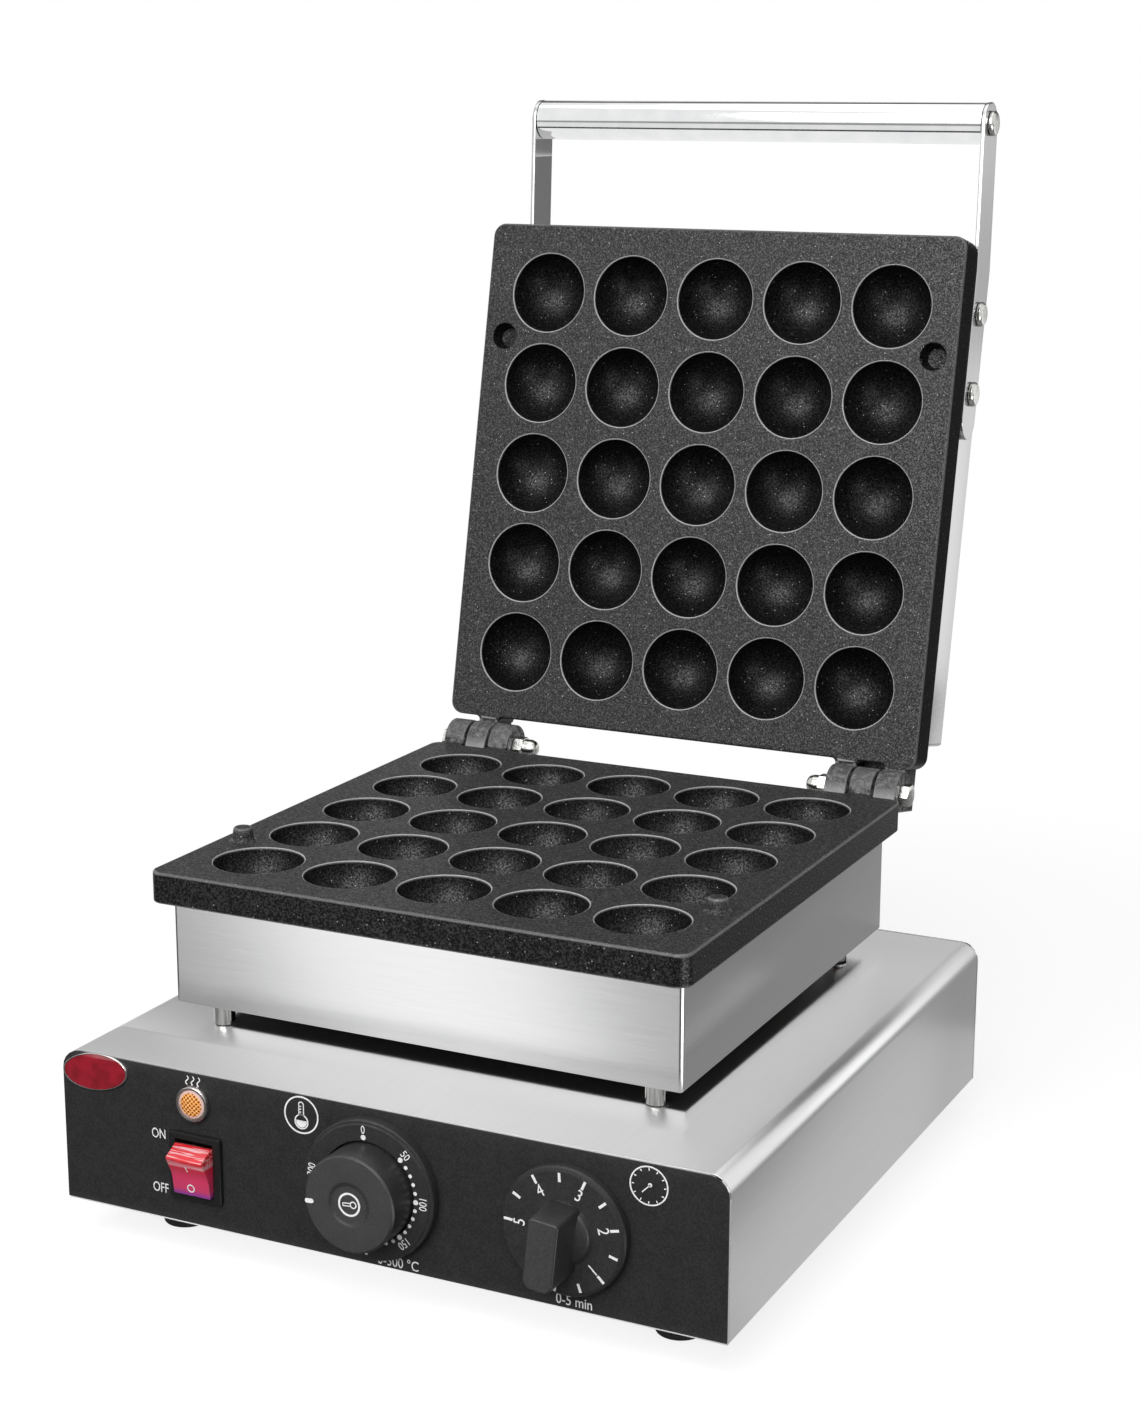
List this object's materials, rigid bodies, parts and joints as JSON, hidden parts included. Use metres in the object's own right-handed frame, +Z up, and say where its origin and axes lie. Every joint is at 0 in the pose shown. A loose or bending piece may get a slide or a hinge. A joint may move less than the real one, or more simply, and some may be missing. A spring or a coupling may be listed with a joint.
{
  "type": "fish ball maker",
  "caption": "Electric fish ball maker: hinged cast plates of half-round cavities on a steel base with a thermostat, timer, rocker switch and lamp, lid open against its stop.",
  "frame": {"origin": "middle of the bounding box in X and Y, at the underside of the feet, with the lid open", "axes": "+Z up, the control panel faces -Y, +X to the right as seen from the front"},
  "size_m": [0.316, 0.4332, 0.4912],
  "materials": {
    "stainless": "fine brushed",
    "coated_casting": "speckled non-stick coating",
    "polished_tube": "polished",
    "zinc_fastener": "bright zinc plate",
    "printed_film": "fine grain, white print",
    "black_plastic": "satin",
    "control_case": "plain",
    "red_rocker": "glossy, translucent",
    "amber_lens": "clear, faceted behind",
    "lamp_bezel": "bright",
    "rubber": "matte",
    "heater_sheath": "heat dulled",
    "galvanised_sheet": "spangled",
    "mineral_wool": "fibrous",
    "copper": "drawn",
    "nylon": "plain"
  },
  "bodies": {
    "base": {"base_shell": "stainless", "front_panel": "stainless", "control_film": "printed_film", "rear_panel": "stainless", "base_pan": "stainless", "foot_front_left": "rubber", "foot_front_right": "rubber", "foot_rear_left": "rubber", "foot_rear_right": "rubber", "cord_gland": "black_plastic", "gland_seal": "rubber", "terminal_block": "nylon", "pillar_front_left": "zinc_fastener", "pillar_front_right": "zinc_fastener", "pillar_rear_left": "zinc_fastener", "pillar_rear_right": "zinc_fastener", "lower_housing": "stainless", "lower_plate": "coated_casting", "lower_heater": "heater_sheath", "lower_clamp_plate": "galvanised_sheet", "lower_insulation": "mineral_wool", "thermostat_sensor": "copper", "lamp_body": "lamp_bezel", "lamp_lens": "amber_lens", "switch_body": "black_plastic", "thermostat_body": "control_case", "thermostat_dial": "black_plastic", "timer_body": "control_case", "hinge_bolt_left": "zinc_fastener", "hinge_bolt_right": "zinc_fastener", "hinge_nut_left": "zinc_fastener", "hinge_nut_right": "zinc_fastener"},
    "lid": {"upper_plate": "coated_casting", "upper_housing": "stainless", "upper_heater": "heater_sheath", "upper_clamp_plate": "galvanised_sheet", "upper_insulation": "mineral_wool", "handle_arm_left": "stainless", "handle_arm_right": "stainless", "handle_tube": "polished_tube", "tube_plug_left": "zinc_fastener", "tube_plug_right": "zinc_fastener", "handle_screw_left": "zinc_fastener", "handle_screw_right": "zinc_fastener", "arm_screw_left_front": "zinc_fastener", "arm_screw_left_rear": "zinc_fastener", "arm_screw_right_front": "zinc_fastener", "arm_screw_right_rear": "zinc_fastener"},
    "thermostat_control": {"thermostat_knob": "black_plastic", "thermostat_spindle": "zinc_fastener"},
    "timer_control": {"timer_knob": "black_plastic", "timer_spindle": "zinc_fastener"},
    "rocker_key": {"rocker": "red_rocker"}
  },
  "joints": [
    {"name": "lid_hinge", "type": "hinge", "parent": "base", "child": "lid", "pos_m": [0, 0.10296, 0.1655], "axis": [1, 0, 0], "range_deg": [0, 101.89]},
    {"name": "thermostat_turn", "type": "hinge", "parent": "base", "child": "thermostat_control", "pos_m": [-0.001, -0.19244, 0.0545], "axis": [0, 1, 0], "range_deg": [-265, 17]},
    {"name": "timer_turn", "type": "hinge", "parent": "base", "child": "timer_control", "pos_m": [0.0885, -0.19244, 0.0545], "axis": [0, 1, 0], "range_deg": [0, 270]},
    {"name": "rocker_tilt", "type": "hinge", "parent": "base", "child": "rocker_key", "pos_m": [-0.0889, -0.19174, 0.0464], "axis": [-1, 0, 0], "range_deg": [0, 36]}
  ]
}
